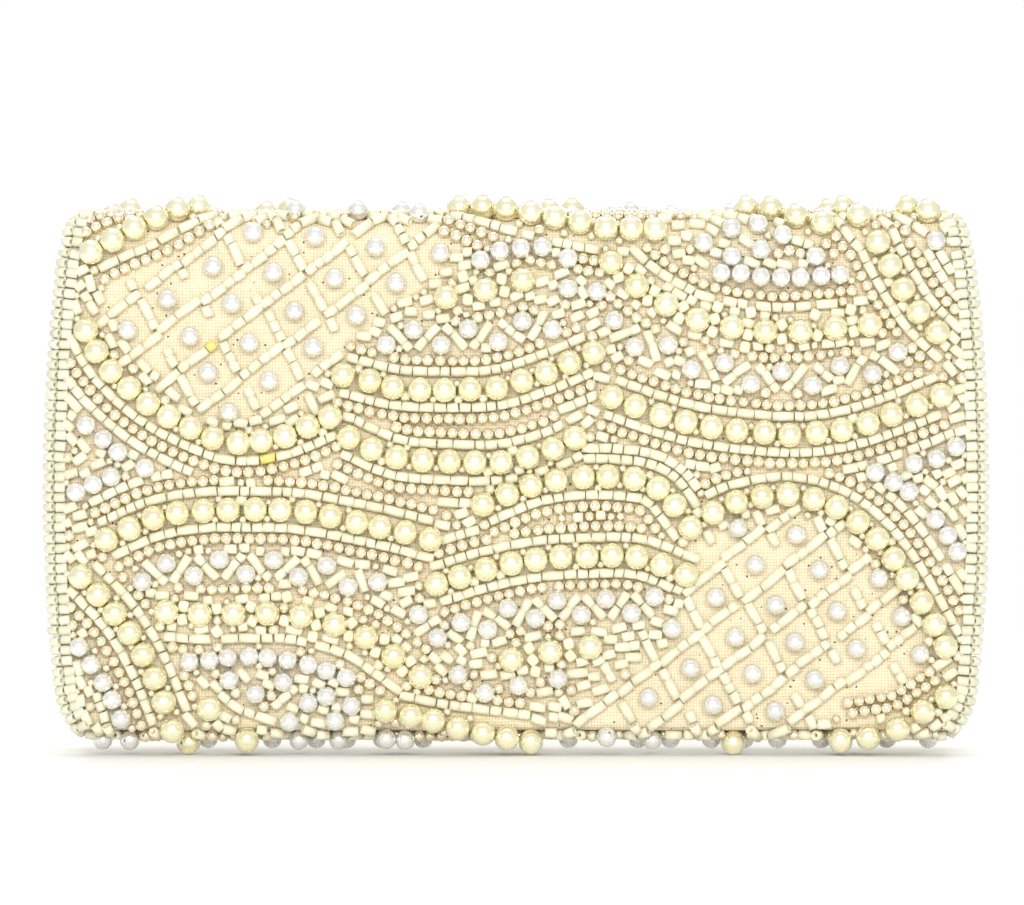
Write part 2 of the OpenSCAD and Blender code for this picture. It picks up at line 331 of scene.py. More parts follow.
def spots_of(kind, u, s, angle, length):
    """The circles that a bead covers on the cloth: centre, radius and height of its middle."""
    radius = RADIUS[kind]
    if kind != "tube":
        return [(u, s, radius * (length or 1.0))]
    reach = max(0.0, length / 2 - TUBE_R)
    count = max(2, int(math.ceil(length / 1.4)))
    return [(u + math.cos(angle) * reach * (2 * i / (count - 1) - 1),
             s + math.sin(angle) * reach * (2 * i / (count - 1) - 1), radius) for i in range(count)]


def is_free(spots, slack):
    for u, s, r in spots:
        column, row = int(math.floor(u / CELL)), int(math.floor(s / CELL))
        for i in range(column - 2, column + 3):
            for j in range(row - 2, row + 3):
                for u2, s2, r2 in taken.get((i, j), ()):
                    gap = (r + r2) * slack
                    if (u - u2) ** 2 + (s - s2) ** 2 + (r - r2) ** 2 < gap * gap:
                        return False
    return True


def sew(kind, u, s, angle=0.0, length=None, slack=0.96, margin=None):
    """Sews a bead on where there is room for it, and says whether there was."""
    spots = spots_of(kind, u, s, angle, length)
    border = BORDER if margin is None else margin
    for x, t, r in spots:
        if abs(x) + r > half_width(t) - border + 1.0 or not BASE_END + 0.6 < t < FLAP_END - 3.4:
            return False
    if not is_free(spots, slack):
        return False
    for spot in spots:
        taken.setdefault((int(math.floor(spot[0] / CELL)), int(math.floor(spot[1] / CELL))), []).append(spot)
    beads.append((kind, u, s, angle, length or 1.0, chance.random()))
    return True


def curve_through(points, step=STEP):
    """A smooth curve through given places, as evenly spaced points."""
    p = np.array([2 * np.array(points[0]) - np.array(points[1]), *map(np.array, points),
                  2 * np.array(points[-1]) - np.array(points[-2])], float)
    t = np.linspace(0, 1, 40, endpoint=False)[:, None]
    runs = [0.5 * (2 * p[i] + (p[i + 1] - p[i - 1]) * t
                   + (2 * p[i - 1] - 5 * p[i] + 4 * p[i + 1] - p[i + 2]) * t ** 2
                   + (3 * p[i] - p[i - 1] - 3 * p[i + 1] + p[i + 2]) * t ** 3) for i in range(1, len(p) - 2)]
    return even(np.vstack([*runs, p[-2][None]]), step)


def even(line, step=STEP):
    lengths = np.r_[0, np.cumsum(np.hypot(*np.diff(line, axis=0).T))]
    at = np.arange(0, lengths[-1], step)
    return np.stack([np.interp(at, lengths, line[:, 0]), np.interp(at, lengths, line[:, 1])], 1)


def beside(line, distance):
    """The line a distance to the left of another, which is to the right where it is negative."""
    way = np.gradient(line, axis=0)
    way /= np.maximum(1e-9, np.hypot(way[:, 0], way[:, 1]))[:, None]
    moved = line + distance * np.stack([-way[:, 1], way[:, 0]], 1)
    ahead = np.einsum("ij,ij->i", np.gradient(moved, axis=0), way) > 0
    return even(moved[ahead]) if ahead.sum() > 8 else moved[:0]


def angle_at(line, i):
    a, b = line[max(0, i - 2)], line[min(len(line) - 1, i + 2)]
    return math.atan2(b[1] - a[1], b[0] - a[0])


def place(side, u, s):
    """The same design is sewn on both ends of the strip, turned half round."""
    return (u, s) if side == "back" else (-u, 2 * CROWN_MIDDLE - s)


def sew_at(side, kind, u, s, angle=0.0, length=None, slack=0.96):
    u, s = place(side, u, s)
    return sew(kind, u, s, angle, length, slack)


def pearl_row(side, kind, line, pitch, slack=0.9):
    count = max(1, int(round(len(line) * STEP / pitch)))
    for n in range(count + 1):
        i = min(len(line) - 1, int(round(n * (len(line) - 1) / count)))
        u, s = line[i] + (chance.uniform(-0.15, 0.15), chance.uniform(-0.15, 0.15))
        sew_at(side, kind, u, s, angle_at(line, i), slack=slack)


def spaced_row(side, line, pitch):
    """Large pearls with rocailles stacked between them."""
    count = max(1, int(round(len(line) * STEP / pitch)))
    for n in range(count + 1):
        i = min(len(line) - 1, int(round(n * (len(line) - 1) / count)))
        sew_at(side, "large", *line[i], angle_at(line, i), slack=0.9)
    for n in range(count):
        i = int(round((n + 0.5) * (len(line) - 1) / count))
        a = angle_at(line, i)
        for step in (-1.25, 1.25, 3.3, -3.3):
            u = line[i][0] - math.sin(a) * step + chance.uniform(-0.3, 0.3)
            s = line[i][1] + math.cos(a) * step + chance.uniform(-0.3, 0.3)
            sew_at(side, "rocaille", u, s, a + chance.uniform(-0.6, 0.6), slack=0.93)


def tube_row(side, line, slack=0.97):
    i = 0
    while i < len(line) - 6:
        length = chance.choice((1.8, 2.0, 2.2, 2.4, 2.4, 2.8, 3.0, 3.4, 4.2))
        done = False
        for size in (length, 2.4, 1.9):
            middle = min(len(line) - 1, i + int(size / 2 / STEP))
            turn = angle_at(line, middle) + chance.uniform(-0.05, 0.05)
            if sew_at(side, "tube", *line[middle], turn, size, slack):
                i += int(math.ceil((size + 0.08) / STEP))
                done = True
                break
        if not done:
            i += 2


def seed_row(side, line, slack=0.9):
    i = 0
    while i < len(line) - 3:
        u, s = line[i] + (chance.uniform(-0.08, 0.08), chance.uniform(-0.08, 0.08))
        if sew_at(side, "seed", u, s, angle_at(line, i), chance.uniform(0.96, 1.04), slack=slack):
            i += 8
        i += 1


def strung(side, start, end, slack=0.95):
    """A few tubes strung in a straight line between two places."""
    start, end = np.array(start, float), np.array(end, float)
    run = float(np.hypot(*(end - start)))
    way = (end - start) / max(run, 1e-6)
    angle = math.atan2(way[1], way[0])
    at = 0.0
    while run - at > 1.5:
        size = min(run - at, chance.choice((1.9, 2.3, 2.8, 3.4, 4.6)))
        if run - at - size < 1.5:
            size = run - at
        middle = start + way * (at + size / 2)
        middle += (chance.uniform(-0.12, 0.12), chance.uniform(-0.12, 0.12))
        sew_at(side, "tube", *middle, angle + chance.uniform(-0.08, 0.08), max(1.6, size - 0.05), slack)
        at += size


def zigzag(side, line, pitch, rise, up=1):
    """White pearls in turn above and below a line, with strung tubes between them."""
    count = max(2, int(round(len(line) * STEP / pitch)))
    low, high, centres = beside(line, -rise), beside(line, rise), []
    for n in range(count + 1):
        i = min(len(line) - 1, int(round(n * (len(line) - 1) / count)))
        a = angle_at(line, i)
        off = (up if n % 2 == 0 else -up) * rise * 0.62
        u, s = line[i][0] - math.sin(a) * off, line[i][1] + math.cos(a) * off
        sew_at(side, "white", u, s, a, slack=0.9)
        centres.append((line[i], a, 1 if off > 0 else -1))
    for (here, a, side_here), (there, b, _) in zip(centres, centres[1:]):
        start = here + rise * 1.25 * -side_here * np.array((-math.sin(a), math.cos(a)))
        end = there + rise * 1.25 * side_here * np.array((-math.sin(b), math.cos(b)))
        strung(side, start + (end - start) * 0.12, end - (end - start) * 0.12, slack=0.9)


def inside(u, s, outline):
    found = False
    for (u1, s1), (u2, s2) in zip(outline, outline[1:] + outline[:1]):
        if (s1 > s) != (s2 > s) and u < (u2 - u1) * (s - s1) / (s2 - s1) + u1:
            found = not found
    return found


LATTICE_A, LATTICE_B = np.array((8.4, 6.4)), np.array((4.0, -7.6))
LATTICE_REACH = 16


def lattice(side, outline, start):
    """Two sets of strung tubes that cross, with a white pearl in each diamond."""
    a, b, start = LATTICE_A, LATTICE_B, np.array(start, float)
    for i in range(-LATTICE_REACH, LATTICE_REACH + 1):
        for j in range(-LATTICE_REACH, LATTICE_REACH + 1):
            middle = start + i * a + j * b + (chance.uniform(-0.4, 0.4), chance.uniform(-0.4, 0.4))
            if inside(*middle, outline):
                sew_at(side, "white", *middle, chance.uniform(0, 3), slack=0.9)
    for first, second in ((a, b), (b, a)):
        for j in range(-LATTICE_REACH, LATTICE_REACH + 1):
            for i in range(-LATTICE_REACH, LATTICE_REACH + 1):
                begin = start + (j + 0.5) * second + (i - 0.5) * first
                end = begin + first
                half_way = begin + first * 0.5
                if any(inside(*at, outline) for at in (half_way, begin, end)):
                    bow = np.array((chance.uniform(-0.5, 0.5), chance.uniform(-0.5, 0.5)))
                    gap = first / np.hypot(*first) * (0.0 if first is a else 1.0)
                    strung(side, begin + bow + gap, end + bow - gap, slack=0.86)


# Arcs of large pearls. After each arc's points come its pitch, which is wider where rocailles stand
# between the pearls, and the rows that follow on its left and on its right: T tubes, S seed pearls.
ARCS = (
    (((-85, 101), (-80, 103.5), (-75.5, 105.3), (-67.5, 109.2), (-64, 111.5)), 5.1, "SS", "TS"),
    (((-88, 90), (-83, 80), (-76, 72.5), (-67.5, 67), (-57, 63), (-47, 64), (-37, 68)),
      5.1, "", "TSTT"),
    (((-34.5, 76.5), (-24, 74), (-13.5, 73.5), (-3.5, 74), (6, 77), (15.5, 81)), 5.1, "TS", "TST"),
    (((-33.5, 64), (-24, 60), (-13.5, 59), (-3, 59), (7, 61.5), (12, 64)), 5.1, "TS", "TST"),
    (((-14, 92), (-6, 93.5), (1.5, 95.5)), 8.3, "T", "S"),
    (((19, 99), (24.5, 94), (31, 90), (38, 87), (52, 85), (66, 86), (71, 86.5)), 7.3, "TS", "SS"),
    (((-11.5, 112.5), (-7.5, 111), (0, 108.5), (9, 106.5), (18, 105), (28, 104.6)), 5.1, "SS", "TSS"),
    (((66, 111.5), (67.4, 109.2), (70, 105.8), (72.2, 103.4), (74.4, 99), (80.5, 89), (88, 81.5)),
      5.1, "TSTT", "TSS"),
    (((46.5, 111.5), (50.8, 109.5), (57.4, 106.7), (61.5, 105.7)), 5.1, "SS", "TS"),
    (((79, 111.5), (81, 109.6), (84, 107.6), (86.5, 104.5)), 5.1, "T", "TT"),
    (((19, 72), (29, 68.5), (39, 66), (54.5, 64.5), (65, 65.5), (75, 68.5), (85, 72.5)),
      5.1, "TS", "TSTT"),
    (((-6.5, 50.5), (3.5, 54.5), (13.5, 56), (24, 55.5), (29, 53.5), (32, 50), (35, 46)),
      5.1, "TTS", "TSTST"),
    (((39.5, 49), (44.5, 51), (54.5, 52.5), (64, 50), (72, 44), (78, 36), (83, 27.5), (86, 22)),
      5.1, "TST", ""),
    (((86, 12), (77.5, 6.7), (73, 5.9), (68.5, 5.1), (65, 4.7)), 5.1, "T", "SS"),
    (((-16, 34.5), (-6, 37.5), (4, 39.5), (14, 40.2), (24.5, 40), (34, 36.5)), 5.1, "TST", "TS"),
    (((-82, 43.5), (-73, 47.5), (-63.5, 49.3), (-53, 49.5), (-42.5, 49), (-27, 46), (-17, 43.5)),
      5.1, "TST", "TS"),
    (((-87, 36), (-79.5, 28), (-74, 19), (-70, 9.5), (-69, 6.3), (-67.8, 4.6), (-66, 2)),
      5.1, "TS", "TSS"),
    (((-70, 29), (-62, 28.5), (-52, 28.7), (-45, 28.5), (-38, 27), (-31, 24.5), (-25, 20.5),
      (-19, 16)), 7.2, "S", "TS"),
    (((-87.5, 11.5), (-86, 7), (-84.5, 3)), 5.1, "TS", "T"),
    (((-61.5, 9.6), (-58, 6.9), (-54.8, 5.4), (-50, 3.8)), 5.1, "TS", "S"),
    (((-26, 9.2), (-15.5, 7), (-5.5, 5.7), (3, 4.6)), 5.1, "TSS", "SS"),
    (((-1, 19.5), (6.5, 21), (15, 22)), 8.3, "S", "T"),
)
# Rows of white pearls that touch, and single ones
WHITE_ROWS = (
    ((-89, 69), (-79.5, 61)), ((-88, 53), (-81, 56.2), (-74, 58)), ((-87.5, 22), (-83, 15.5),
      (-79.5, 8.8), (-79, 6.3), (-77.5, 3.5)),
    ((-65.5, 19), (-54, 20), (-45.5, 19.4), (-34, 16)), ((-7, 99.4), (-3.5, 101), (0, 101.8),
      (5.5, 102)),
    ((41, 97), (53, 96), (65, 96.6)), ((80.5, 105.8), (83.8, 103.3), (86, 100), (88.6, 95)),
    ((88, 62), (84, 59.8), (79.6, 58.6)), ((72, 57), (79, 53), (84, 47.5), (88.4, 41)),
      ((0.5, 14.2), (8.5, 15.8)),
    ((-26, 4.6), (-15, 3.6)),
)
WHITE_SINGLES = (
    (10.4, 99.8), (10.4, 93.8), (16.2, 93.2), (37.6, 102.8), (43.2, 105), (48.6, 105.8),
      (53.4, 104), (43.2, 100.2),
    (49, 101.6), (60, 100.2), (-11.6, 16.4), (-6.2, 12.8), (-57.4, 15.4), (-52.2, 12.6),
      (-46.6, 15), (-41.6, 10.8),
    (-45.4, 7), (-36.2, 7.2), (-33, 10.2),
)
# Zigzags: the line's points, the pitch of its pearls, and whether the first pearl is above
ZIGZAGS = (
    (((-26, 84), (-14, 84), (-4, 84.6), (7, 87)), 5.6, -1),
    (((19, 86), (30, 81), (42, 77.2), (53, 75.6), (64, 76.6), (77, 79.6)), 5.8, 1),
    (((-75, 36.6), (-64, 37.8), (-50, 38), (-37, 36.6), (-28, 33.5)), 5.4, -1),
    (((-20, 27), (-13, 25), (-4, 27.6), (6, 29.6), (16, 30), (28, 30.5)), 4.9, 1),
    (((38, 103), (46, 103.2), (60, 102)), 5.0, 1),
    (((-60, 13.5), (-50, 12.5), (-38, 10.5)), 5.4, 1),
)
FIELDS = (
    (((-84, 97), (-72, 103.4), (-62, 107), (-52, 111), (-46, 116.6), (-12, 116.6), (-13, 108), (-12, 99),
      (-19, 93), (-28, 88), (-37, 80), (-43, 71), (-56, 67.5), (-68, 72), (-79, 84)), (-57, 90.6)),
    (((35, 44), (46, 48), (57, 49), (67, 44), (76, 34), (82, 24), (83, 17), (70, 10), (60, 6), (54, 4.6),
      (16, 4.6), (8, 6), (20, 15), (30, 23), (34, 33)), (56, 23.2)),
)

# Room across that a row takes, by its kind, and the extra beside rocailles
ROW_ROOM = {"T": 2.15, "S": 2.3}
ROW_HALF = {"T": 1.1, "S": 1.2}
WIDE_PITCH, ROCAILLE_ROOM, WHITE_PITCH = 6, 1.4, 4.05
for side in ("back", "flap"):
    arcs = [(curve_through(points), pitch, left, right) for points, pitch, left, right in ARCS]
    for line, pitch, _, _ in arcs:
        if pitch > WIDE_PITCH:
            spaced_row(side, line, pitch)
        else:
            pearl_row(side, "large", line, pitch)
    for points in WHITE_ROWS:
        pearl_row(side, "white", curve_through(points), WHITE_PITCH)
    for u, s in WHITE_SINGLES:
        sew_at(side, "white", u, s, slack=0.9)
    for points, pitch, up in ZIGZAGS[:4]:
        zigzag(side, curve_through(points), pitch, 2.5, up)
    for level in range(5):
        for line, pitch, left, right in arcs:
            for rows, way in ((left, 1), (right, -1)):
                if level < len(rows):
                    offset = LARGE_R + sum(ROW_ROOM[row] for row in rows[:level])
                    offset += ROW_HALF[rows[level]]
                    if pitch > WIDE_PITCH:
                        offset += ROCAILLE_ROOM
                    row = beside(line, way * offset)
                    if len(row):
                        (tube_row if rows[level] == "T" else seed_row)(side, row)
    for points, pitch, up in ZIGZAGS[4:]:
        zigzag(side, curve_through(points), pitch, 2.5, up)
    for outline, start in FIELDS:
        lattice(side, list(outline), start)

# Along the foot, and round the flap's side edges, single pearls stand out past the cloth
for n in range(22):
    sew("large" if n % 3 == 1 else "white", -84 + 8.0 * n + chance.uniform(-1, 1), chance.uniform(2.6, 3.4))
for n in range(24):
    sew("white", -85 + 7.3 * n + chance.uniform(-1, 1), chance.uniform(-1.6, -0.8))
EDGE_PEARLS = ((-1, 95.5), (-1, 89.5), (-1, 69.5), (-1, 55), (-1, 43.5), (-1, 34),
               (1, 86), (1, 74.5), (1, 41), (1, 30))
EDGE_PLACES = [(way, FLAP_START + FOLD_Z - z) for way, z in EDGE_PEARLS]
for way, s in EDGE_PLACES:
    sew("white", way * float(half_width(s) - 0.9), s, margin=-3)

# What cloth is left outside the open fields is filled with tubes and seed pearls that lie along
# the nearest arc
guides = []
for side in ("back", "flap"):
    for points, _, _, _ in ARCS:
        line = curve_through(points, 1.0)
        for i in range(len(line)):
            u, s = place(side, *line[i])
            guides.append((u, s, angle_at(line, i)))
guides = np.array(guides)
# The crest is filled all over, this far down each side of it
CREST = 5
fields = [[place(side, u, s) for u, s in outline] for side in ("back", "flap") for outline, _ in FIELDS]
tries = [(u, s) for u in np.arange(-93, 93.1, 0.8) for s in np.arange(BASE_END, FLAP_END, 0.8)]
for kind, length in (("tube", 2.6), ("seed", 1.0), ("tube", 1.8), ("seed", 0.9), ("seed", 0.75)):
    chance.shuffle(tries)
    for u, s in tries:
        u += chance.uniform(-0.4, 0.4)
        s += chance.uniform(-0.4, 0.4)
        on_crest = CROWN_START - CREST < s < CROWN_END + CREST
        if not is_free([(u, s, 0.75)], 0.98):
            continue
        if not on_crest and any(inside(u, s, outline) for outline in fields):
            continue
        near = guides[np.argmin((guides[:, 0] - u) ** 2 + (guides[:, 1] - s) ** 2)]
        if kind == "seed":
            sew("seed", u, s, near[2], length, slack=0.93)
        else:
            turn = near[2] + chance.uniform(-0.2, 0.2)
            sew("tube", u, s, turn, length * chance.uniform(0.9, 1.3), slack=0.95)

# Two tubes of the back have gone yellow with age
for stained_u, stained_s in ((-61.4, 81.4), (-50.6, 58.4)):
    nearest = min((b for b in beads if b[0] == "tube"),
                  key=lambda b: math.hypot(b[1] - stained_u, b[2] - stained_s))
    beads[beads.index(nearest)] = ("stained",) + nearest[1:]


def lathe(profile, sides):
    """A bead turned about its hole: a closed ring of profile points (along, out from the axis)."""
    ring = np.array(profile, float)
    turn = np.arange(sides) * 2 * math.pi / sides
    verts = np.stack([np.repeat(ring[:, 0], sides), np.outer(ring[:, 1], np.cos(turn)).ravel(),
                      np.outer(ring[:, 1], np.sin(turn)).ravel()], 1)
    rows = len(ring)
    faces = [(r * sides + c, r * sides + (c + 1) % sides, ((r + 1) % rows) * sides + (c + 1) % sides,
              ((r + 1) % rows) * sides + c) for r in range(rows) for c in range(sides)]
    return verts, np.array(faces)


def pearl_shape(radius, hole, rings, sides):
    """A drilled ball with a small lip round its hole."""
    low = math.asin(hole / radius)
    around = np.linspace(low, math.pi - low, rings)
    ball = [(-radius * math.cos(a), radius * math.sin(a)) for a in around]
    return lathe(ball + [(ball[-1][0] * 0.9, hole * 0.8), (ball[0][0] * 0.9, hole * 0.8)], sides)


def ring_shape(radius, length, hole, sides):
    """A glass bead with a flattened round wall and a hole."""
    half = length / 2
    wall = [(half * math.cos(a), (radius + hole) / 2 + (radius - hole) / 2 * math.sin(a))
            for a in np.linspace(math.pi, -math.pi, 10, endpoint=False)]
    square = [(math.copysign(abs(x / half) ** 0.7 * half, x), y) for x, y in wall]
    return lathe(square, sides)


tube_shape = lathe([(-1.0, 0.45), (-1.0, 0.86), (-0.999, TUBE_R), (0.999, TUBE_R), (1.0, 0.86),
                    (1.0, 0.45)], 11)
SHAPES = {
    "large": pearl_shape(LARGE_R, 0.34, 15, 24),
    "white": pearl_shape(WHITE_R, 0.30, 13, 20),
    "seed": pearl_shape(SEED_R, 0.28, 8, 12),
    "rocaille": ring_shape(ROCAILLE_R, 2.1, 0.45, 12),
    "tube": tube_shape,
    "stained": tube_shape,
}
MAX_FACES = 95000


def bead_group(name, shape, places, ways, outs, stretch, tones, skews=None):
    """Many beads of one kind as one mesh. ways are along their holes, and outs is off the cloth."""
    verts, faces = shape
    count = len(places)
    side_way = np.cross(outs, ways)
    side_way /= np.linalg.norm(side_way, axis=1)[:, None]
    up_way = np.cross(ways, side_way)
    along = verts[None, :, 0] * stretch[:, None, 0]
    if skews is not None:
        end = np.sign(verts[:, 0])
        along = (along + skews[:, 0, None] * verts[None, :, 1] * (end > 0)
                 + skews[:, 1, None] * verts[None, :, 1] * (end < 0))
    body = (along[:, :, None] * ways[:, None, :]
            + (verts[None, :, 1] * stretch[:, None, 1])[:, :, None] * side_way[:, None, :]
            + (verts[None, :, 2] * stretch[:, None, 1])[:, :, None] * up_way[:, None, :])
    points = (body + places[:, None, :]).reshape(-1, 3) * MM
    corners = (faces[None] + (np.arange(count) * len(verts))[:, None, None]).reshape(-1)
    mesh = bpy.data.meshes.new(name)
    mesh.vertices.add(len(points))
    mesh.vertices.foreach_set("co", points.astype(np.float32).ravel())
    mesh.loops.add(len(corners))
    mesh.loops.foreach_set("vertex_index", corners.astype(np.int32))
    polygons = count * len(faces)
    mesh.polygons.add(polygons)
    mesh.polygons.foreach_set("loop_start", np.arange(0, polygons * 4, 4, dtype=np.int32))
    mesh.polygons.foreach_set("use_smooth", [True] * polygons)
    mesh.update(calc_edges=True)
    mesh.validate()
    piece = bpy.data.objects.new(name, mesh)
    bpy.context.scene.collection.objects.link(piece)
    write_values(piece, "tone", "FLOAT", np.repeat(tones, len(verts)))
    round_about = np.broadcast_to(verts[None, :, 1:], (count, len(verts), 2))
    local = np.concatenate([along[:, :, None], round_about], 2)
    write_values(piece, "grain", "FLOAT_VECTOR", (local + (tones[:, None, None] * 977) % 89).reshape(-1, 3))
    return piece


def bead_material(name, pale, deep, roughness, coat, metallic, mottle, streak=1.0):
    """A glassy or pearly bead. Each bead has its own tone, and a fine cloudy grain."""
    material, nodes, links, shader = new_material(name)
    tone = nodes.new("ShaderNodeAttribute")
    tone.attribute_name = "tone"
    ramp = nodes.new("ShaderNodeValToRGB")
    ramp.color_ramp.elements[0].color = (*deep, 1)
    ramp.color_ramp.elements[1].color = (*pale, 1)
    links.new(tone.outputs["Fac"], ramp.inputs[0])
    grain = nodes.new("ShaderNodeAttribute")
    grain.attribute_name = "grain"
    stretched = nodes.new("ShaderNodeVectorMath")
    stretched.operation = "MULTIPLY"
    stretched.inputs[1].default_value = (streak, 1, 1)
    links.new(grain.outputs["Vector"], stretched.inputs[0])
    cloud = nodes.new("ShaderNodeTexNoise")
    cloud.inputs["Scale"].default_value = 1.6
    cloud.inputs["Detail"].default_value = 3
    links.new(stretched.outputs[0], cloud.inputs["Vector"])
    shade = nodes.new("ShaderNodeMapRange")
    shade.inputs["From Min"].default_value = 0.3
    shade.inputs["From Max"].default_value = 0.7
    shade.inputs["To Min"].default_value = 1 - mottle
    shade.inputs["To Max"].default_value = 1 + mottle * 0.4
    links.new(cloud.outputs["Fac"], shade.inputs["Value"])
    colour = mix_colours(nodes, links, 1.0, ramp.outputs[0], shade.outputs[0], "MULTIPLY")
    links.new(colour, shader.inputs["Base Color"])
    rough = nodes.new("ShaderNodeMapRange")
    rough.inputs["To Min"].default_value = roughness * 0.8
    rough.inputs["To Max"].default_value = roughness * 1.25
    links.new(cloud.outputs["Fac"], rough.inputs["Value"])
    links.new(rough.outputs[0], shader.inputs["Roughness"])
    shader.inputs["Metallic"].default_value = metallic
    shader.inputs["Coat Weight"].default_value = coat
    shader.inputs["Coat Roughness"].default_value = 0.06
    return material


BEAD_MATERIALS = {
    "large": bead_material("champagne_pearl", (0.98, 0.935, 0.68), (0.93, 0.87, 0.58),
                0.27, 1.0, 0.75, 0.02),
    "white": bead_material("white_pearl", (0.885, 0.875, 0.84), (0.82, 0.81, 0.775),
                0.27, 1.0, 0.65, 0.02),
    "seed": bead_material("beige_seed_pearl", (0.95, 0.87, 0.67), (0.87, 0.775, 0.56),
                0.24, 1.0, 0.75, 0.03),
    "tube": bead_material("cream_tube_glass", (0.90, 0.855, 0.655), (0.84, 0.785, 0.565),
                0.33, 0.4, 0.0, 0.08, 0.25),
    "rocaille": bead_material("cream_rocaille", (0.92, 0.87, 0.64), (0.86, 0.79, 0.52),
                0.2, 0.7, 0.0, 0.03),
    "stained": bead_material("stained_tube_glass", (0.86, 0.73, 0.20), (0.83, 0.71, 0.30),
                0.3, 0.5, 0.0, 0.1),
}
BEAD_NAMES = {"large": "champagne_pearls", "white": "white_pearls", "seed": "seed_pearls",
              "tube": "cut_tubes", "rocaille": "rocailles", "stained": "stained_tubes"}


def lay_out(side, kind):
    """Places, directions and sizes of the beads of one kind on one end of the strip."""
    rows = [b for b in beads if b[0] == kind and (b[2] < CROWN_MIDDLE) == (side == "back")]
    u, s, angle, length, tone = (np.array([b[i] for b in rows], float) for i in (1, 2, 3, 4, 5))
    y, z, out_y, out_z = strip_frame(s)
    outs = np.stack([np.zeros_like(u), out_y, out_z], 1)
    along_s = np.stack([np.zeros_like(u), out_z, -out_y], 1)
    ways = np.cos(angle)[:, None] * np.array((1.0, 0, 0)) + np.sin(angle)[:, None] * along_s
    is_tube = kind in ("tube", "stained")
    size = np.ones_like(length) if is_tube else length
    height = RADIUS[kind] * size - 0.05
    places = np.stack([u, y, z], 1) + outs * height[:, None]
    stretch = np.stack([length / 2 if is_tube else size, size], 1)
    return places, ways, outs, stretch, tone, s


skew_chance = np.random.default_rng(5)
REPLACED = {"back": ("back_beadwork", "rear_fold_beadwork", "base_beadwork", "crown_beadwork"),
            "flap": ("flap_beadwork", "front_fold_beadwork")}
for side in ("back", "flap"):
    for kind, shape in SHAPES.items():
        if kind == "stained" and side == "flap":
            continue
        places, ways, outs, stretch, tones, s = lay_out(side, kind)
        per_group = MAX_FACES // len(shape[1])
        groups = int(math.ceil(len(places) / per_group))
        order = np.argsort(places[:, 0], kind="stable")
        for g, chosen in enumerate(np.array_split(order, groups)):
            name = f"{BEAD_NAMES[kind]}_{side}" + (f"_{g + 1}" if groups > 1 else "")
            skews = skew_chance.normal(0, 0.09, (len(chosen), 2)) if RADIUS[kind] == TUBE_R else None
            piece = bead_group(name, shape, places[chosen], ways[chosen], outs[chosen], stretch[chosen],
                               tones[chosen], skews)
            piece.data.materials.append(BEAD_MATERIALS[kind])
            follow_fold(piece, side)
            if g == 0 and kind == "large":
                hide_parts(*REPLACED[side])

# ---- Edge binding --------------------------------------------------------------------------
# Both long edges and the flap's lower edge are bound with cream seed beads. The thread whips over
# the edge through three beads at a time: one on the face, one on the corner and one on the side.
binding_shape = lathe([(-1.12, 0.4), (-1.12, 0.72), (-1.05, 0.9), (-0.86, 1.0),
                       (0.86, 1.0), (1.05, 0.9), (1.12, 0.72), (1.12, 0.4)], 12)
binding_glass = bead_material("binding_glass", (0.79, 0.77, 0.61), (0.69, 0.67, 0.50), 0.3, 0.5, 0.0, 0.06)
BINDING_PITCH = 2.06
bind_chance = np.random.default_rng(8)


def bind(name, base, outs, off, nodes_replaced, clear=None):
    """Three beads over the edge at each stitch. outs is the way off the face, and off the way off the
    edge. Where a stitch isn't clear it has only the bead on the side."""
    places, ways, ups = [], [], []
    clear = np.ones(len(base), bool) if clear is None else clear
    everywhere = np.ones(len(base), bool)
    for inward, rise, tilt, here in ((3.2, 1.0, 0.05, clear), (0.95, 0.35, 0.75, clear),
                                     (0.75, -1.9, 1.57, everywhere)):
        size = (int(here.sum()), 3)
        places.append(base[here] - off[here] * inward + outs[here] * rise
                      + bind_chance.normal(0, 0.08, size))
        ways.append(off[here] * math.cos(tilt) - outs[here] * math.sin(tilt)
                    + bind_chance.normal(0, 0.05, size))
        ups.append(outs[here] * math.cos(tilt) + off[here] * math.sin(tilt))
    places, ways, ups = np.vstack(places), np.vstack(ways), np.vstack(ups)
    ways /= np.linalg.norm(ways, axis=1)[:, None]
    count = len(places)
    sizes = bind_chance.normal(1.0, 0.035, (count, 2))
    piece = bead_group(name, binding_shape, places, ways, ups, sizes, bind_chance.random(count))
    piece.data.materials.append(binding_glass)
    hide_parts(*nodes_replaced)
    return piece


def bind_strip(name, u, s, off_u, off_s, side, nodes_replaced):
    """Binds the strip's edge, but for where a pearl is sewn on it."""
    clear = np.array([all(way * x < 0 or abs(at - there) > 2.2 for way, there in EDGE_PLACES)
                      for x, at in zip(u, s)])
    y, z, out_y, out_z = strip_frame(s)
    nil = np.zeros_like(u)
    outs = np.stack([nil, out_y, out_z], 1)
    off = np.stack([off_u, off_s * out_z, -off_s * out_y], 1)
    piece = bind(name, np.stack([u, y, z], 1), outs, off, nodes_replaced, clear)
    follow_fold(piece, side)


def edge_line(start, end, sign):
    """Stitches evenly spaced along the strip's edge, with the way off it."""
    fine = np.arange(start, end, 0.1)
    run = np.r_[0, np.cumsum(np.hypot(np.diff(fine), np.diff(half_width(fine))))]
    at = np.interp(np.arange(0, run[-1], BINDING_PITCH), run, fine)
    slope = (half_width(at + 0.2) - half_width(at - 0.2)) / 0.4
    norm = np.hypot(1, slope)
    return sign * half_width(at), at, sign / norm, -slope / norm


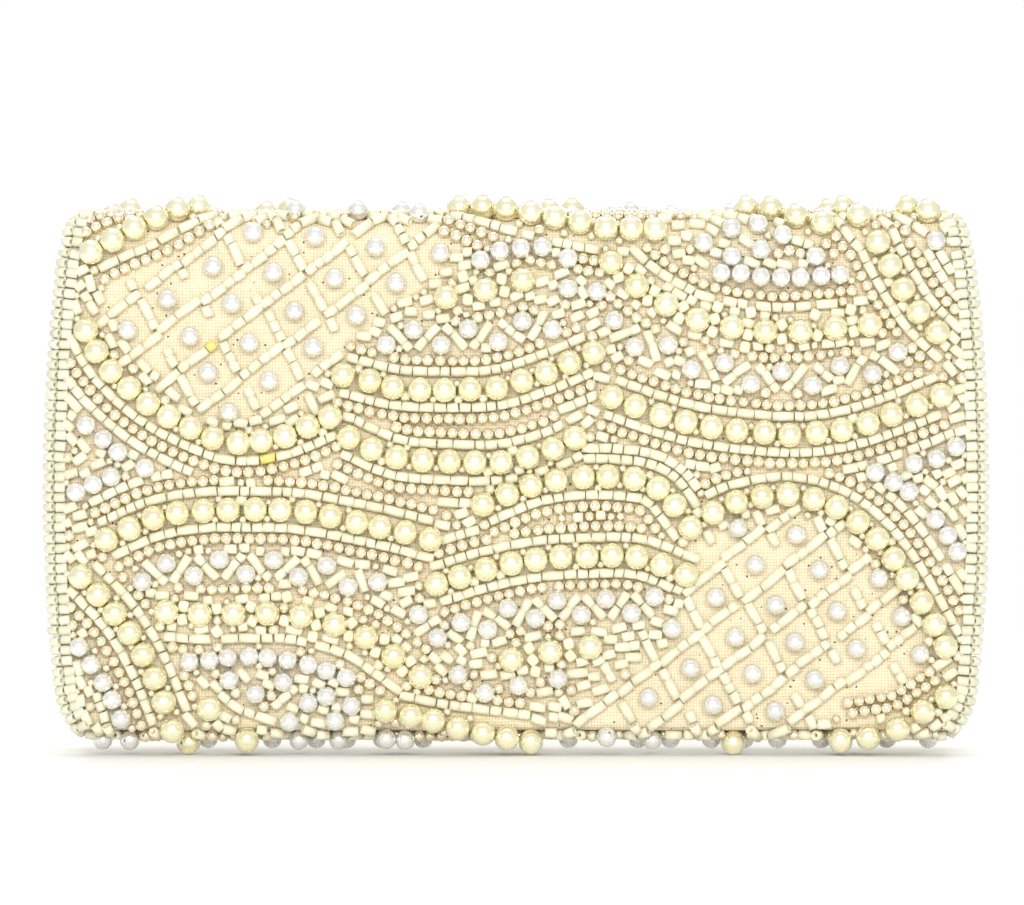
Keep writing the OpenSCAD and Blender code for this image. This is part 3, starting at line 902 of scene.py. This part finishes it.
for label, sign in (("left", -1), ("right", 1)):
    fold_nodes = ("rear_fold_edge_beads", "crown_edge_beads") if sign < 0 else ()
    bind_strip(f"edge_beads_back_{label}", *edge_line(BASE_END + 0.5, CROWN_MIDDLE, sign), "back",
               (f"back_edge_beads_{label}", f"base_edge_beads_{label}") + fold_nodes)
    fold_nodes = ("front_fold_edge_beads",) if sign < 0 else ()
    bind_strip(f"edge_beads_flap_{label}", *edge_line(CROWN_MIDDLE + 1, FLAP_END - 0.4, sign), "flap",
               (f"flap_edge_beads_{label}",) + fold_nodes)
reach = float(half_width(FLAP_END)) - 1.0
u = np.arange(-reach, reach, BINDING_PITCH)
bind_strip("edge_beads_flap_bottom", u, np.full_like(u, FLAP_END), np.zeros_like(u), np.ones_like(u), "flap",
           ("flap_edge_beads_bottom",))

# ---- Loose threads -------------------------------------------------------------------------
# A few ends of grey-white sewing thread stick out at the left edge, where the binding was mended.
thread_verts, thread_faces = [], []
THREAD_R, THREAD_SIDES = 0.11, 6
for n in range(9):
    along = np.linspace(0, 1, 16)[:, None]
    root = np.array((-float(half_width(84)) + 1.2, -FACE_Y - 1.4, 81.0 + 0.62 * n))
    bow = np.array((-1.6 - 0.25 * (n % 3), -0.5 - 0.3 * (n % 2), 0.5 * math.sin(2.1 * n)))
    end = root + np.array((-0.2 - 0.3 * (n % 2), 1.8 + 0.3 * (n % 3), 1.4 * math.sin(1.3 * n + 1)))
    line = root * (1 - along) ** 2 + (root + end + 2 * bow) * along * (1 - along) + end * along ** 2
    way = np.gradient(line, axis=0)
    way /= np.linalg.norm(way, axis=1)[:, None]
    across = np.cross(way, (0, 0, 1.0))
    across /= np.linalg.norm(across, axis=1)[:, None]
    up_way = np.cross(way, across)
    first = len(thread_verts)
    for p, q, r in zip(line, across, up_way):
        for k in range(THREAD_SIDES):
            a = 2 * math.pi * k / THREAD_SIDES
            thread_verts.append(p + THREAD_R * (math.cos(a) * q + math.sin(a) * r))
    count = THREAD_SIDES
    thread_faces += [(first + i * count + k, first + i * count + (k + 1) % count,
                      first + (i + 1) * count + (k + 1) % count, first + (i + 1) * count + k)
                     for i in range(len(line) - 1) for k in range(count)]
    thread_faces.append(tuple(first + k for k in reversed(range(count))))
    thread_faces.append(tuple(first + (len(line) - 1) * count + k for k in range(count)))
threads = new_mesh("loose_threads", np.array(thread_verts), thread_faces)
write_values(threads, "tone", "FLOAT", np.full(len(thread_verts), 0.5))
write_values(threads, "grain", "FLOAT_VECTOR", np.array(thread_verts) * 3)
sewing_thread = bead_material("sewing_thread", (0.72, 0.72, 0.70), (0.60, 0.60, 0.58),
                              0.6, 0.0, 0.0, 0.15)
threads.data.materials.append(sewing_thread)
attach(threads, "body")

# ---- Front panel ---------------------------------------------------------------------------
# The panel under the flap is a board covered in the same linen, with a rolled hem at the mouth.
# Only its foot, which shows below the flap, is beaded, and its two side edges are bound.
shell_low, shell_high = node_mm("front_shell")
FRONT_Y, FRONT_Z, FRONT_TOP = shell_high[1], shell_low[2], shell_high[2]


def flat_sheet(name, y, low, high, half, thickness, seed, rough, bulge=0.0):
    """An upright sheet that faces the flap. half gives half its width at a height."""
    up = np.linspace(low, high, int((high - low) / 1.2) + 1)
    across = np.linspace(-1, 1, 101)
    z = np.repeat(up, len(across))
    t = np.tile(across, len(up))
    u = t * half(z)
    rise = (z - low) / (high - low)
    depth = (ripple(u, z, seed, rough) + bulge * np.sin(math.pi * rise) * (1 - t ** 2)
             + bulge * rise ** 3 * (1 - t ** 4))
    piece = new_mesh(name, np.stack([u, y + depth, z], 1), grid_faces(len(up), len(across)))
    piece.data.flip_normals()
    write_values(piece, "cut", "FLOAT_VECTOR", np.stack([u, z, np.zeros_like(z)], 1))
    thicken(piece, thickness)
    return piece


front_cloth = flat_sheet("cloth_front", FRONT_Y, FRONT_Z, FRONT_TOP,
                         lambda z: half_width(z) - 1.8, 0.5, 5, 0.06)
front_cloth.data.materials.append(cloth_material("plain_linen", *LINEN))
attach(front_cloth, "front")
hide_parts("front_shell")

z = np.arange(FRONT_Z + 1.3, FRONT_TOP - 0.8, BINDING_PITCH)
for label, sign in (("left", -1), ("right", 1)):
    base = np.stack([sign * half_width(z), np.full_like(z, FRONT_Y), z], 1)
    outs = np.tile((0.0, 1.0, 0.0), (len(z), 1))
    off = np.tile((float(sign), 0.0, 0.0), (len(z), 1))
    piece = bind(f"edge_beads_front_{label}", base, outs, off, (f"front_edge_beads_{label}",))
    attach(piece, "front")

foot_rows = ((7.95, "tube", 2.45), (10.15, "seed", 2.42), (12.3, "tube", 2.5))
for row, (height, kind, pitch) in enumerate(foot_rows):
    reach = float(half_width(height)) - 5.5
    u = np.arange(-reach, reach, pitch)
    count = len(u)
    radius = TUBE_R if kind == "tube" else SEED_R
    places = np.stack([u, np.full(count, FRONT_Y + radius - 0.05), np.full(count, height)], 1)
    places += bind_chance.normal(0, 0.05, places.shape)
    ways = np.tile((1.0, 0.0, 0.0), (count, 1))
    outs = np.tile((0.0, 1.0, 0.0), (count, 1))
    size = np.tile((pitch / 2 - 0.04, 1.0) if kind == "tube" else (1.0, 1.0), (count, 1))
    piece = bead_group(f"front_foot_{BEAD_NAMES[kind]}_{row + 1}", SHAPES[kind], places, ways, outs, size,
                       bind_chance.random(count))
    piece.data.materials.append(BEAD_MATERIALS[kind])
    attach(piece, "front")
    if row == 0:
        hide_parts("front_beadwork")

# ---- Linings -------------------------------------------------------------------------------
# Ivory satin lines the strip and the front panel. It is cut a little full, so it puckers softly,
# and is glued over the boards. A soft felt strip lies in the folds between it and the linen.
satin = cloth_material("satin", (0.84, 0.76, 0.60), (0.74, 0.64, 0.47), 0.17, 0.27, 0.25, 0.2, warp=0.15)
felt = cloth_material("felt", (0.80, 0.76, 0.68), (0.55, 0.50, 0.42), 0.9, 0.95, 0.6, 0.5, warp=2.5)
LINING_DEPTH = FACE_Y + node_mm("back_lining")[0][1]
LINING_T, FELT_T = 0.5, 1.2
for side, start, end, nodes_replaced in (
        ("back", BASE_END + 0.5, CROWN_MIDDLE,
         ("back_lining", "base_lining", "rear_fold_lining", "crown_lining")),
        ("flap", CROWN_MIDDLE, FLAP_END - 1.2, ("flap_lining", "front_fold_lining"))):
    lining, s = strip_sheet("lining_" + side, start, end, 2.4, -LINING_DEPTH, LINING_T, 9, rough=0.24)
    lining.data.materials.append(satin)
    follow_fold(lining, side)
    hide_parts(*nodes_replaced)
for side, start, end, nodes_replaced in (
        ("back", FOLD_Z, CROWN_MIDDLE, ("rear_fold_interlining", "crown_interlining")),
        ("flap", CROWN_MIDDLE, FLAP_START, ("front_fold_interlining",))):
    pad, s = strip_sheet("felt_" + side, start, end, 2.6, -0.55, FELT_T, 2, rough=0.0)
    pad.data.materials.append(felt)
    follow_fold(pad, side)
    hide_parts(*nodes_replaced)

front_lining_y = node_mm("front_lining")[0][1]
front_lining = flat_sheet("lining_front", front_lining_y + LINING_T, FRONT_Z + 0.3, FRONT_TOP,
                          lambda z: half_width(z) - 2.4, LINING_T, 7, 0.05)
front_lining.data.materials.append(satin)
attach(front_lining, "front")
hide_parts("front_lining")

# ---- Gussets -------------------------------------------------------------------------------
# A satin gusset closes each side between the back and the front panel. It is folded in on itself
# down its middle, so the front can lean out.
for label, sign in (("left", -1), ("right", 1)):
    low, high = node_mm(f"gusset_{label}")
    depth = high[0] - low[0] - 0.8
    up = np.linspace(low[2] + 0.3, high[2], 60)
    round_way = np.linspace(0, 1, 33)
    z = np.repeat(up, len(round_way))
    t = np.tile(round_way, len(up))
    outer = half_width(z) - 3.0
    full = 1 - 0.35 * np.exp(-(z - low[2]) / 5)
    inward = (depth * full * (1 - np.abs(2 * t - 1) ** 1.6)
              + 0.25 * np.sin(z / 4.7 + 5 * t) * np.sin(math.pi * t))
    y = low[1] + 0.15 + (high[1] - low[1] - 0.3) * t
    piece = new_mesh(f"side_gusset_{label}", np.stack([sign * (outer - inward), y, z], 1),
                     grid_faces(len(up), len(round_way)))
    write_values(piece, "cut", "FLOAT_VECTOR", np.stack([t * 18, z, np.zeros_like(z)], 1))
    thicken(piece, 0.35, offset=0)
    piece.data.materials.append(satin)
    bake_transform(piece)
    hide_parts(f"gusset_{label}")

# ---- Pocket and hems -----------------------------------------------------------------------
# A slip pocket of the same satin is stitched to the back lining on three sides. Its mouth, and
# the front panel's top, are turned over into rolled hems.


def rolled_hem(name, low, high, body, node):
    """A rolled hem: a soft oval roll whose size and place waver a little along it."""
    along = np.linspace(low[0], high[0], 140)
    turn = np.arange(14) * 2 * math.pi / 14
    middle_y, middle_z = (low[1] + high[1]) / 2, (low[2] + high[2]) / 2
    half_y, half_z = (high[1] - low[1]) / 2, (high[2] - low[2]) / 2
    u = np.repeat(along, len(turn))
    a = np.tile(turn, len(along))
    swelling = 0.94 + 0.05 * np.sin(u / 2.9) * np.sin(u / 7.7 + 1)
    y = middle_y + half_y * swelling * np.sign(np.cos(a)) * np.abs(np.cos(a)) ** 0.8
    z = middle_z + half_z * swelling * np.sign(np.sin(a)) * np.abs(np.sin(a)) ** 0.8
    count = len(turn)
    faces = [(r * count + c, r * count + (c + 1) % count,
              (r + 1) * count + (c + 1) % count, (r + 1) * count + c)
             for r in range(len(along) - 1) for c in range(count)]
    faces += [tuple(range(count))[::-1], tuple(range((len(along) - 1) * count, len(along) * count))]
    piece = new_mesh(name, np.stack([u, y, z], 1), faces)
    write_values(piece, "cut", "FLOAT_VECTOR", np.stack([u, a * 1.2, np.zeros_like(a)], 1))
    piece.data.materials.append(satin)
    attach(piece, body)
    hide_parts(node)


rolled_hem("mouth_roll", *node_mm("mouth_hem"), "front", "mouth_hem")
pocket_low, pocket_high = node_mm("slip_pocket")
pocket = flat_sheet("pocket_sheet", pocket_high[1] - 0.1, pocket_low[2], pocket_high[2],
                    lambda z: np.full_like(z, pocket_high[0]), 0.4, 4, 0.07, bulge=0.5)
pocket.data.materials.append(satin)
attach(pocket, "body")
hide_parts("slip_pocket")
rolled_hem("pocket_roll", *node_mm("pocket_hem"), "body", "pocket_hem")

# ---- Boards and snap -----------------------------------------------------------------------
# Grey pulp boards stiffen the base, back, front and flap. The flap shuts with a magnetic snap of
# gilt brass, whose socket and stud are bent over steel washers through the boards.


def node_finish(nodes_named, material, bevel=0.0):
    for name in nodes_named:
        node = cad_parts[name]
        if not node.material_slots:
            node.data.materials.append(material)
        for slot in node.material_slots:
            slot.material = material
        if bevel:
            edge = node.modifiers.new("soft_edge", "BEVEL")
            edge.width = bevel * MM
            edge.segments = 3
            edge.limit_method = "ANGLE"


def grained_material(name, pale, deep, roughness, metallic, scale, bump, stretch=(1, 1, 1)):
    """A solid material with a fine grain, which changes its colour, its gloss and its surface."""
    material, nodes, links, shader = new_material(name)
    place = nodes.new("ShaderNodeTexCoord")
    stretched = nodes.new("ShaderNodeVectorMath")
    stretched.operation = "MULTIPLY"
    stretched.inputs[1].default_value = stretch
    links.new(place.outputs["Object"], stretched.inputs[0])
    grain = nodes.new("ShaderNodeTexNoise")
    grain.inputs["Scale"].default_value = scale
    grain.inputs["Detail"].default_value = 6
    links.new(stretched.outputs[0], grain.inputs["Vector"])
    links.new(mix_colours(nodes, links, grain.outputs["Fac"], deep, pale), shader.inputs["Base Color"])
    rough = nodes.new("ShaderNodeMapRange")
    rough.inputs["To Min"].default_value = roughness * 0.7
    rough.inputs["To Max"].default_value = roughness * 1.3
    links.new(grain.outputs["Fac"], rough.inputs["Value"])
    links.new(rough.outputs[0], shader.inputs["Roughness"])
    shader.inputs["Metallic"].default_value = metallic
    relief = nodes.new("ShaderNodeBump")
    relief.inputs["Strength"].default_value = bump
    relief.inputs["Distance"].default_value = 0.1 * MM
    links.new(grain.outputs["Fac"], relief.inputs["Height"])
    links.new(relief.outputs[0], shader.inputs["Normal"])
    return material


pulp = grained_material("pulp_board", (0.52, 0.47, 0.39), (0.36, 0.32, 0.26), 0.9, 0.0, 900, 0.6)
gilt = grained_material("gilt_brass", (0.90, 0.72, 0.38), (0.78, 0.58, 0.26), 0.24, 1.0, 500, 0.08, (1, 1, 6))
steel = grained_material("plated_steel", (0.70, 0.70, 0.69), (0.52, 0.52, 0.51), 0.35, 1.0, 700, 0.15)
magnet_grey = grained_material("magnet_nickel", (0.42, 0.42, 0.43), (0.30, 0.30, 0.31), 0.3, 1.0, 800, 0.1)
node_finish(("back_board", "base_board", "front_board", "flap_board"), pulp, 0.2)
node_finish(("snap_socket_shell", "snap_socket_base", "snap_stud"), gilt, 0.25)
node_finish(("snap_socket_washer", "snap_stud_washer"), steel, 0.1)
node_finish(("snap_magnet",), magnet_grey, 0.2)

# ---- Studio --------------------------------------------------------------------------------
# A white table, a pale room, and plain soft light from the front, the back and above.
TABLE_R = 0.5
floor_mesh = bpy.data.meshes.new("floor")
rim = [(TABLE_R * math.cos(i * math.pi / 48), TABLE_R * math.sin(i * math.pi / 48), 0) for i in range(96)]
floor_mesh.from_pydata(rim, [], [tuple(range(96))])
floor = bpy.data.objects.new("floor", floor_mesh)
bpy.context.scene.collection.objects.link(floor)
paper, _, _, paper_shader = new_material("white_table")
paper_shader.inputs["Base Color"].default_value = (0.92, 0.92, 0.92, 1)
paper_shader.inputs["Roughness"].default_value = 0.9
floor_mesh.materials.append(paper)

world = bpy.data.worlds.new("studio")
bpy.context.scene.world = world
world.use_nodes = True
sky_nodes, sky_links = world.node_tree.nodes, world.node_tree.links
room = sky_nodes["Background"]
room.inputs["Color"].default_value = (1.0, 0.99, 0.965, 1)
room.inputs["Strength"].default_value = 0.74
# What is seen behind the bag is plain white paper
paper_behind = sky_nodes.new("ShaderNodeBackground")
paper_behind.inputs["Color"].default_value = (1, 1, 1, 1)
seen = sky_nodes.new("ShaderNodeLightPath")
either = sky_nodes.new("ShaderNodeMixShader")
sky_links.new(seen.outputs["Is Camera Ray"], either.inputs[0])
sky_links.new(room.outputs[0], either.inputs[1])
sky_links.new(paper_behind.outputs[0], either.inputs[2])
sky_links.new(either.outputs[0], sky_nodes["World Output"].inputs["Surface"])


def soft_light(name, place, target, size, power):
    lamp = bpy.data.lights.new(name, "AREA")
    lamp.shape = "RECTANGLE"
    lamp.size, lamp.size_y = size
    lamp.energy = power
    light = bpy.data.objects.new(name, lamp)
    light.location = place
    way = np.array(target) - np.array(place)
    light.rotation_mode = "QUATERNION"
    light.rotation_quaternion = Vector(way).to_track_quat("-Z", "Y")
    bpy.context.scene.collection.objects.link(light)


for label, sign in (("left", -1), ("right", 1)):
    soft_light(f"front_{label}_light", (sign * 0.17, -0.84, 0.33), (0, 0, 0.06), (0.24, 0.30), 2.4)
for label, sign in (("left", -1), ("right", 1)):
    soft_light(f"rear_{label}_light", (sign * 0.35, 0.85, 0.5), (0, 0, 0.06), (0.3, 0.34), 2.2)
soft_light("top_light", (0.0, 0.1, 1.1), (0, 0, 0.06), (0.7, 0.5), 3.0)
bpy.context.scene.view_settings.view_transform = "Standard"

VIEW_CENTRE_U, VIEW_CENTRE_Z, VIEW_WIDTH = -0.8, 60.9, 204.8
camera_data = bpy.data.cameras.new("camera")
camera_data.lens = 140
camera_data.sensor_width = 36
camera = bpy.data.objects.new("camera", camera_data)
distance = VIEW_WIDTH / 2 / (camera_data.sensor_width / 2 / camera_data.lens)
camera.location = (VIEW_CENTRE_U * MM, -(distance + FACE_Y + LARGE_R) * MM, VIEW_CENTRE_Z * MM)
camera.rotation_euler = (math.pi / 2, 0, 0)
bpy.context.scene.collection.objects.link(camera)
bpy.context.scene.camera = camera
